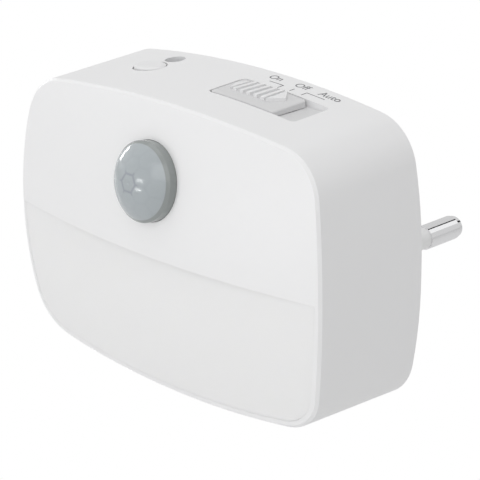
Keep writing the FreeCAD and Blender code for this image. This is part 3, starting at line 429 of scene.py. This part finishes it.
def studio():
    """White surroundings, the room that glossy surfaces mirror, and soft lamps."""
    world = bpy.data.worlds.new("studio")
    bpy.context.scene.world = world
    world.use_nodes = True
    nodes, links = world.node_tree.nodes, world.node_tree.links
    nodes.clear()
    out = nodes.new("ShaderNodeOutputWorld")
    shades = []
    for strength in (FILL, 1.0, 1.0):
        shade = nodes.new("ShaderNodeBackground")
        shade.inputs["Color"].default_value = (1, 1, 1, 1)
        shade.inputs["Strength"].default_value = strength
        shades.append(shade)
    links.new(mirrored_room(nodes, links), shades[2].inputs["Strength"])
    seen = nodes.new("ShaderNodeMixShader")
    links.new(either(nodes, links, "Is Camera Ray", "Is Transmission Ray"), seen.inputs["Fac"])
    links.new(shades[0].outputs["Background"], seen.inputs[1])
    links.new(shades[1].outputs["Background"], seen.inputs[2])
    mix = nodes.new("ShaderNodeMixShader")
    links.new(either(nodes, links, "Is Glossy Ray"), mix.inputs["Fac"])
    links.new(seen.outputs["Shader"], mix.inputs[1])
    links.new(shades[2].outputs["Background"], mix.inputs[2])
    links.new(mix.outputs["Shader"], out.inputs["Surface"])
    for name, (place, size, power) in LAMPS.items():
        area_light(name, place, AIM, size, power)


def floor():
    """Pale floor well below the object, which a socket in a wall would hold up."""
    mesh = bpy.data.meshes.new("floor")
    corners = ((-1, -1), (1, -1), (1, 1), (-1, 1))
    mesh.from_pydata([(x * FLOOR_HALF, y * FLOOR_HALF, FLOOR_HEIGHT) for x, y in corners], [], [(0, 1, 2, 3)])
    made = bpy.data.objects.new("floor", mesh)
    bpy.context.scene.collection.objects.link(made)
    material = bpy.data.materials.new("pale_floor")
    nodes, links = node_tree(material)
    surface = nodes["Principled BSDF"]
    surface.inputs["Base Color"].default_value = (0.85, 0.85, 0.85, 1)
    glow = nodes.new("ShaderNodeEmission")
    glow.inputs["Color"].default_value = (1, 1, 1, 1)
    mix = nodes.new("ShaderNodeMixShader")
    links.new(either(nodes, links, "Is Camera Ray", "Is Transmission Ray"), mix.inputs["Fac"])
    links.new(surface.outputs["BSDF"], mix.inputs[1])
    links.new(glow.outputs["Emission"], mix.inputs[2])
    links.new(mix.outputs["Shader"], nodes["Material Output"].inputs["Surface"])
    mesh.materials.append(material)


def finishes():
    """A material for each CAD node."""
    paint(moulded("case_white", (0.86, 0.86, 0.865), 0.42), "front_case", "back_cover")
    paint(moulded("diffuser_milky", (0.85, 0.85, 0.85), 0.45, subsurface=0.25), "diffuser")
    # The knob's darker grey is painted shade: it stands in for the shade in its grooves and on its end, while its
    # ribs keep a paler white
    paint(moulded("knob_grey_painted_shade", (0.7, 0.7, 0.705), 0.38), "slide_knob")
    paint(moulded("button_white", (0.84, 0.84, 0.845), 0.38), "button_cap")
    paint(moulded("inner_white", (0.8, 0.8, 0.78), 0.6), "lens_clip", "sensor_holder", "light_box")
    paint(milky_lens(), "sensor_lens")
    paint(metal("pin_chrome", (0.85, 0.85, 0.86), 0.08, (1, 0.05, 1)), "pin_left", "pin_right")
    paint(moulded("sleeve_grey", (0.86, 0.86, 0.86), 0.5), "sleeve_left", "sleeve_right")
    paint(moulded("board_green", (0.03, 0.16, 0.07), 0.4), "main_board")
    paint(moulded("part_black", (0.03, 0.03, 0.03), 0.5), "slide_switch", "switch_lever", "tact_switch",
          "tact_plunger", "photo_sensor", "can_capacitor", "rectifier", "control_chip")
    paint(metal("sensor_metal", (0.7, 0.7, 0.72), 0.25), "motion_sensor")
    paint(metal("screw_steel", (0.6, 0.6, 0.62), 0.3), "board_screws", "case_screws")
    paint(metal("strip_brass", (0.72, 0.55, 0.25), 0.3), "contact_left", "contact_right")
    paint(moulded("lamp_yellow", (0.8, 0.65, 0.2), 0.4), "lamps")
    paint(moulded("window_smoky", (0.25, 0.26, 0.27), 0.15), "sensor_window")
    paint(moulded("film_yellow", (0.6, 0.35, 0.05), 0.4), "film_capacitor")
    paint(moulded("resistor_blue", (0.12, 0.25, 0.35), 0.4), "fuse_resistor")


def on_top(x, y):
    """The point of the case's top at x and y."""
    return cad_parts["front_case"].ray_cast(Vector((x, y, 1)), Vector((0, 0, -1)))[1]


def ribbon(a, b, width):
    """Corners of a thin printed line from a to b that lies on the case."""
    along = (b - a).normalized()
    side = Vector((-along.y, along.x, 0)).normalized() * width / 2
    lift = Vector((0, 0, INK_THICKNESS * MM))
    base = [a - side, b - side, b + side, a + side]
    return base + [p + lift for p in base]


def add_piece(name, mesh, material, body):
    """Puts the mesh in the scene as a piece with its material and body."""
    made = bpy.data.objects.new(name, mesh)
    bpy.context.scene.collection.objects.link(made)
    mesh.materials.append(material)
    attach(made, body)
    return made


def rounded(x0, x1, y0, y1, radius, steps=6):
    """Points round a rectangle with round corners."""
    points = []
    for cx, cy, start in ((x1 - radius, y0 + radius, -90), (x1 - radius, y1 - radius, 0),
                          (x0 + radius, y1 - radius, 90), (x0 + radius, y0 + radius, 180)):
        for k in range(steps + 1):
            turn = math.radians(start + 90 * k / steps)
            points.append((cx + radius * math.cos(turn), cy + radius * math.sin(turn)))
    return points


def prism(path, low, high, first=0):
    """Points and faces of a closed upright prism, whose point numbers start at first."""
    count = len(path)
    points = [(x, y, z) for z in (low, high) for x, y in path]
    faces = [tuple(first + k for k in reversed(range(count))), tuple(first + count + k for k in range(count))]
    for k in range(count):
        n = (k + 1) % count
        faces.append((first + k, first + n, first + count + n, first + count + k))
    return points, faces


def button_ring():
    """Outline and bottom of the ring that is cut round the button."""
    low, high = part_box("button_cap")
    x, y = (low[0] + high[0]) / 2, (low[1] + high[1]) / 2
    radius = BUTTON_RADIUS + BUTTON_MOAT
    path = rounded(x - radius, x + radius, y - radius, y + radius, radius * MOAT_ROUND, MOAT_STEPS)
    return path, on_top(x, y - radius - EDGE_STEP).z - MOAT_DEPTH


def cut_case(*cuts):
    """Cuts upright holes into the case, each given by its outline and bottom, and keeps its edges sharp."""
    points, faces = [], []
    for path, bottom in cuts:
        more_points, more_faces = prism(path, bottom, bottom + CUTTER_HEIGHT, len(points))
        points += more_points
        faces += more_faces
    mesh = bpy.data.meshes.new("pocket_cutter")
    mesh.from_pydata(points, [], faces)
    cutter = bpy.data.objects.new("pocket_cutter", mesh)
    bpy.context.scene.collection.objects.link(cutter)
    cutter.hide_render = True
    cutter.hide_viewport = True
    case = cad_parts["front_case"]
    lower = case.modifiers.new("deeper_pocket", "BOOLEAN")
    lower.operation = "DIFFERENCE"
    lower.solver = "EXACT"
    lower.object = cutter
    split = case.modifiers.new("sharp_edges", "EDGE_SPLIT")
    split.split_angle = SHARP_ANGLE
    even = case.modifiers.new("even_normals", "WEIGHTED_NORMAL")
    even.mode = "FACE_AREA"
    even.weight = NORMAL_WEIGHT


def deepen_pocket(bottom):
    """Lowers the pocket's floor to bottom, closes the bare end of the slit and covers the bare floor with a grey
    plate whose tone paints the floor's shade.
    """
    low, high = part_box("slide_knob")
    right = high[0] + SLIDE_ROOM
    near = low[1] - POCKET_GAP - NEAR_GAP
    outline = rounded(low[0] - POCKET_GAP - WALL_SHAVE, right, near, high[1] + POCKET_GAP + WALL_SHAVE,
                      KNOB_CORNER + POCKET_GAP)
    cut_case((outline, bottom), button_ring())

    middle = (low[1] + high[1]) / 2
    x0, x1 = SLIT_END
    y0, y1 = middle - SLIT_HALF, middle + SLIT_HALF
    corners = [(x, y, z) for z in (bottom - SLIT_DEPTH, bottom)
               for x, y in ((x0, y0), (x1, y0), (x1, y1), (x0, y1))]
    mesh = bpy.data.meshes.new("slit_end")
    mesh.from_pydata(corners, [], BOX_FACES)
    add_piece("slit_end", mesh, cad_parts["front_case"].data.materials[0], "housing")

    plate = rounded(PLATE_START - PLATE_LEAD, right - PLATE_END, near + PLATE_END,
                    high[1] + POCKET_GAP - PLATE_END, KNOB_CORNER + POCKET_GAP)
    plate = [(max(x, PLATE_START), y) for x, y in plate]
    points, faces = prism(plate, bottom - PLATE, bottom + PLATE)
    mesh = bpy.data.meshes.new("pocket_shade_plate")
    mesh.from_pydata(points, [], faces)
    # The plate takes the knob's darker grey, which paints the shade on the pocket floor
    add_piece("pocket_shade_plate", mesh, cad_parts["slide_knob"].data.materials[0], "housing")


def case_level(x0, x1, y0, y1):
    """A function for the height of the case's top over a hole, from the heights along two of its edges."""
    edges = [[on_top(x, y).z for x in (x0, (x0 + x1) / 2, x1)] for y in (y0 - EDGE_STEP, y1 + EDGE_STEP)]

    def level(x, y):
        t = 2 * (x - x0) / (x1 - x0) - 1
        near, far = (b + t * (c - a) / 2 + t * t * ((a + c) / 2 - b) for a, b, c in edges)
        return near + (far - near) * (y - y0 + EDGE_STEP) / (y1 - y0 + 2 * EDGE_STEP) + KNOB_PROUD

    return level


def knob_body(x0, x1, y0, y1, bottom, level):
    """The knob without its ribs: a bevelled block whose top follows the case."""
    made = bmesh.new()
    # Until the slices are cut, the top lies at 1 and the underside at 0
    rings = []
    for inset, height in ((0, 0.0), (0, 1.0 - KNOB_BEVEL), (KNOB_BEVEL, 1.0)):
        ring = rounded(x0 + inset, x1 - inset, y0 + inset, y1 - inset, KNOB_CORNER - inset)
        rings.append([made.verts.new((x, y, height)) for x, y in ring])
    for a, b in zip(rings, rings[1:]):
        for k in range(len(a)):
            n = (k + 1) % len(a)
            made.faces.new((a[k], a[n], b[n], b[k]))
    made.faces.new(list(reversed(rings[0])))
    made.faces.new(rings[-1])
    for k in range(1, KNOB_SLICES):
        plane = Vector((x0 + (x1 - x0) * k / KNOB_SLICES, 0, 0))
        bmesh.ops.bisect_plane(made, geom=made.verts[:] + made.edges[:] + made.faces[:], plane_co=plane,
                               plane_no=(1, 0, 0))
    for vert in made.verts:
        if vert.co.z > 0.5:
            vert.co.z = level(vert.co.x, vert.co.y) + vert.co.z - 1.0
        else:
            vert.co.z = bottom
    return made


def knob_ribs(x, y, level, ceiling):
    """Ribs round the middle x and y, and an arrowhead at each end, none of it higher than ceiling."""
    half = RIB_LENGTH / 2
    reach = RIB_PITCH * (RIB_COUNT - 1) / 2
    bars = []
    for k in range(RIB_COUNT):
        at = x + RIB_PITCH * (k - (RIB_COUNT - 1) / 2)
        left, right = at - RIB_WIDTH / 2, at + RIB_WIDTH / 2
        bars.append([(left, -half), (right, -half), (right, half), (left, half)])
    for side in (-1, 1):
        start = x + side * (reach + ARROW_START * RIB_WIDTH)
        bars.append([(start, -half), (start + ARROWS[side], 0), (start, half)][::side])
    made = bmesh.new()
    for bar in bars:
        bar = [(u, y + v) for u, v in bar]
        base = [made.verts.new((u, v, level(u, v) - KNOB_BEVEL)) for u, v in bar]
        cap = [made.verts.new((u, v, min(level(u, v) + RIB_HEIGHT, ceiling))) for u, v in bar]
        made.faces.new(list(reversed(base)))
        made.faces.new(cap)
        for k in range(len(bar)):
            n = (k + 1) % len(bar)
            made.faces.new((base[k], base[n], cap[n], cap[k]))
    return made


def knob_piece(name, made, material, softness):
    """Turns the mesh data into a piece of the knob with slightly rounded edges."""
    bmesh.ops.recalc_face_normals(made, faces=made.faces[:])
    mesh = bpy.data.meshes.new(name)
    made.to_mesh(mesh)
    made.free()
    piece = add_piece(name, mesh, material, "knob")
    soft = piece.modifiers.new("soft_edges", "BEVEL")
    soft.width = softness
    soft.segments = 2
    soft.limit_method = "ANGLE"
    return piece


def slide_knob(bottom, ceiling):
    """The knob on the pocket floor at bottom, with its stem and ribs, in place of the CAD node."""
    low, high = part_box("slide_knob")
    x0, x1, y0, y1 = low[0], high[0] + KNOB_STRETCH, low[1], high[1]
    level = case_level(x0, x1, y0, y1)
    body = knob_body(x0, x1, y0, y1, bottom + KNOB_LIFT, level)
    x, y = (low[0] + high[0]) / 2, (y0 + y1) / 2
    left, right = x - STEM_HALF[0], x + STEM_HALF[0]
    near, far = y - STEM_HALF[1], y + STEM_HALF[1]
    corners = [body.verts.new((u, v, z)) for z in (low[2], bottom + POCKET_DROP + KNOB_LIFT)
               for u, v in ((left, near), (right, near), (right, far), (left, far))]
    for face in BOX_FACES:
        body.faces.new([corners[k] for k in face])
    ribs = knob_ribs(x + RIB_SHIFT, y1 - RIB_BACK - RIB_LENGTH / 2, level, ceiling)
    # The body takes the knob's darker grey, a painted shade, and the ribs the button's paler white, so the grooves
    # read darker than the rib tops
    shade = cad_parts["slide_knob"].data.materials[0]
    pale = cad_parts["button_cap"].data.materials[0]
    knob = knob_piece("knob_visible", body, shade, SOFT_BODY)
    knob_piece("knob_ribs", ribs, pale, SOFT_RIBS)
    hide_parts("slide_knob")


def labels():
    """The words for the switch's three places, each with a line to the pocket."""
    ink = moulded("ink_grey", (0.19, 0.19, 0.2), 0.6)
    knob_low, knob_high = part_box("slide_knob")
    origin = Vector(((knob_low[0] + knob_high[0]) / 2, knob_high[1] + POCKET_GAP, 0))
    points, faces = [], []
    for word, (start, bends) in LABELS.items():
        place = origin + Vector((*start, 0)) * MM
        data = bpy.data.curves.new(f"label_{word.lower()}", "FONT")
        data.body = word
        data.size = TEXT_SIZE * MM
        data.extrude = INK_THICKNESS * MM
        text = bpy.data.objects.new(f"label_{word.lower()}", data)
        here = on_top(place.x, place.y)
        ahead = on_top(place.x + LABEL_STEP * MM, place.y)
        above = on_top(place.x, place.y + MM)
        x = (ahead - here).normalized()
        z = x.cross(above - here).normalized()
        y = z.cross(x)
        text.matrix_world = Matrix((
            (x.x, y.x, z.x, here.x),
            (x.y, y.y, z.y, here.y),
            (x.z, y.z, z.z, here.z),
            (0, 0, 0, 1)))
        bpy.context.scene.collection.objects.link(text)
        data.materials.append(ink)
        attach(text, "housing")
        route = [origin + Vector((*bend, 0)) * MM for bend in bends]
        route = [on_top(p.x, p.y) for p in route]
        for a, b in zip(route, route[1:]):
            first = len(points)
            points += ribbon(a, b, LINE_WIDTH * MM)
            faces += [tuple(first + k for k in f) for f in BOX_FACES]
    mesh = bpy.data.meshes.new("label_lines")
    mesh.from_pydata(points, [], faces)
    add_piece("label_lines", mesh, ink, "housing")


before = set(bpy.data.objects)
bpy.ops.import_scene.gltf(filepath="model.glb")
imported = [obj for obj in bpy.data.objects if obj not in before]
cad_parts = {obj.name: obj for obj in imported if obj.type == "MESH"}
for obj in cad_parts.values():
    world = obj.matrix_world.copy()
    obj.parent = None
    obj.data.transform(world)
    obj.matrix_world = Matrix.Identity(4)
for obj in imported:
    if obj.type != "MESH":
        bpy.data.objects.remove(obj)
cad_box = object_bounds()
bpy.context.scene.view_settings.view_transform = "Standard"
camera()
studio()
floor()
finishes()
labels()
knob_low, knob_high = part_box("slide_knob")
pocket_bottom = on_top(POCKET_PLACE, (knob_low[1] + knob_high[1]) / 2).z - POCKET_DROP
slide_knob(pocket_bottom, cad_box[1][2] - RIB_MARGIN)
deepen_pocket(pocket_bottom)
